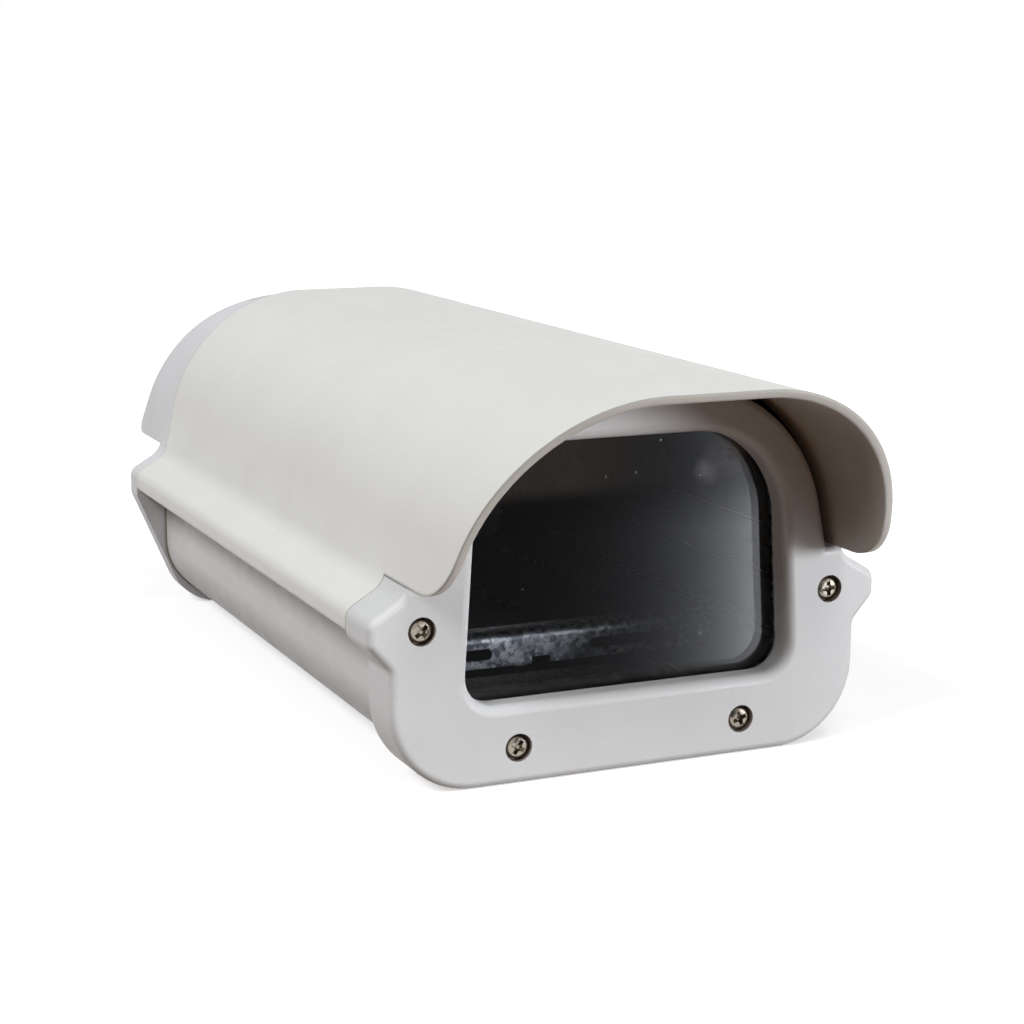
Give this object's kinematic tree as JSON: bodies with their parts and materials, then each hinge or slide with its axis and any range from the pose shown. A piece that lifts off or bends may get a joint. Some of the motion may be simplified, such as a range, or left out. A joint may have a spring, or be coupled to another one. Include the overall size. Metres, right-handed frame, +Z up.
{
  "type": "security camera housing",
  "caption": "Outdoor camera housing: hooked half shells, slanted sun hood, screwed front bezel with window, rear cap with cable glands and a sliding camera tray inside.",
  "frame": {"origin": "on the ground, below the middle of the housing's box", "axes": "+Y from window to cable glands along the length, +X across to the right seen from the front, +Z up; the window looks towards -Y"},
  "size_m": [0.135, 0.2778, 0.097],
  "materials": {
    "upper_paint": "satin warm white powder coat on extruded aluminium",
    "lower_paint": "satin light grey-white powder coat on extruded aluminium",
    "bezel_paint": "smooth cool white paint on die-cast aluminium",
    "cap_paint": "smooth cool white paint on die-cast aluminium",
    "window_glass": "clear flat glass",
    "black_rubber": "matt black rubber",
    "brown_rubber": "matt brown rubber sheet",
    "galvanised_steel": "galvanised sheet with a faint spangle",
    "screw_nickel": "bright nickel-plated steel",
    "rivet_aluminium": "plain aluminium",
    "pad_plastic": "matt black insulating sheet",
    "gland_nylon": "matt dark grey moulded nylon"
  },
  "bodies": {
    "housing": {"upper_shell": "upper_paint", "lower_shell": "lower_paint", "front_bezel": "bezel_paint", "rear_cap": "cap_paint", "window_glass": "window_glass", "window_gasket": "black_rubber", "gland_seal_1": "black_rubber", "gland_seal_2": "black_rubber", "gland_seal_3": "black_rubber", "front_gasket": "brown_rubber", "rear_gasket": "brown_rubber", "bracket_plate": "galvanised_steel", "window_retainer": "galvanised_steel", "bezel_screw_1": "screw_nickel", "bezel_screw_2": "screw_nickel", "bezel_screw_3": "screw_nickel", "bezel_screw_4": "screw_nickel", "cap_screw_1": "screw_nickel", "cap_screw_2": "screw_nickel", "cap_screw_3": "screw_nickel", "cap_screw_4": "screw_nickel", "retainer_screw_1": "screw_nickel", "retainer_screw_2": "screw_nickel", "retainer_screw_3": "screw_nickel", "retainer_screw_4": "screw_nickel", "plate_rivet_1": "rivet_aluminium", "plate_rivet_2": "rivet_aluminium", "gland_washer_1": "gland_nylon", "gland_body_1": "gland_nylon", "gland_locknut_1": "gland_nylon", "gland_nut_1": "gland_nylon", "gland_washer_2": "gland_nylon", "gland_body_2": "gland_nylon", "gland_locknut_2": "gland_nylon", "gland_nut_2": "gland_nylon", "gland_washer_3": "gland_nylon", "gland_body_3": "gland_nylon", "gland_locknut_3": "gland_nylon", "gland_nut_3": "gland_nylon"},
    "tray": {"camera_tray": "galvanised_steel", "camera_pad": "pad_plastic", "camera_washer": "screw_nickel", "camera_screw": "screw_nickel"}
  },
  "joints": [
    {"name": "tray_slide", "type": "slide", "parent": "housing", "child": "tray", "axis": [0, 1, 0], "range_m": [-0.035, 0.035]}
  ]
}
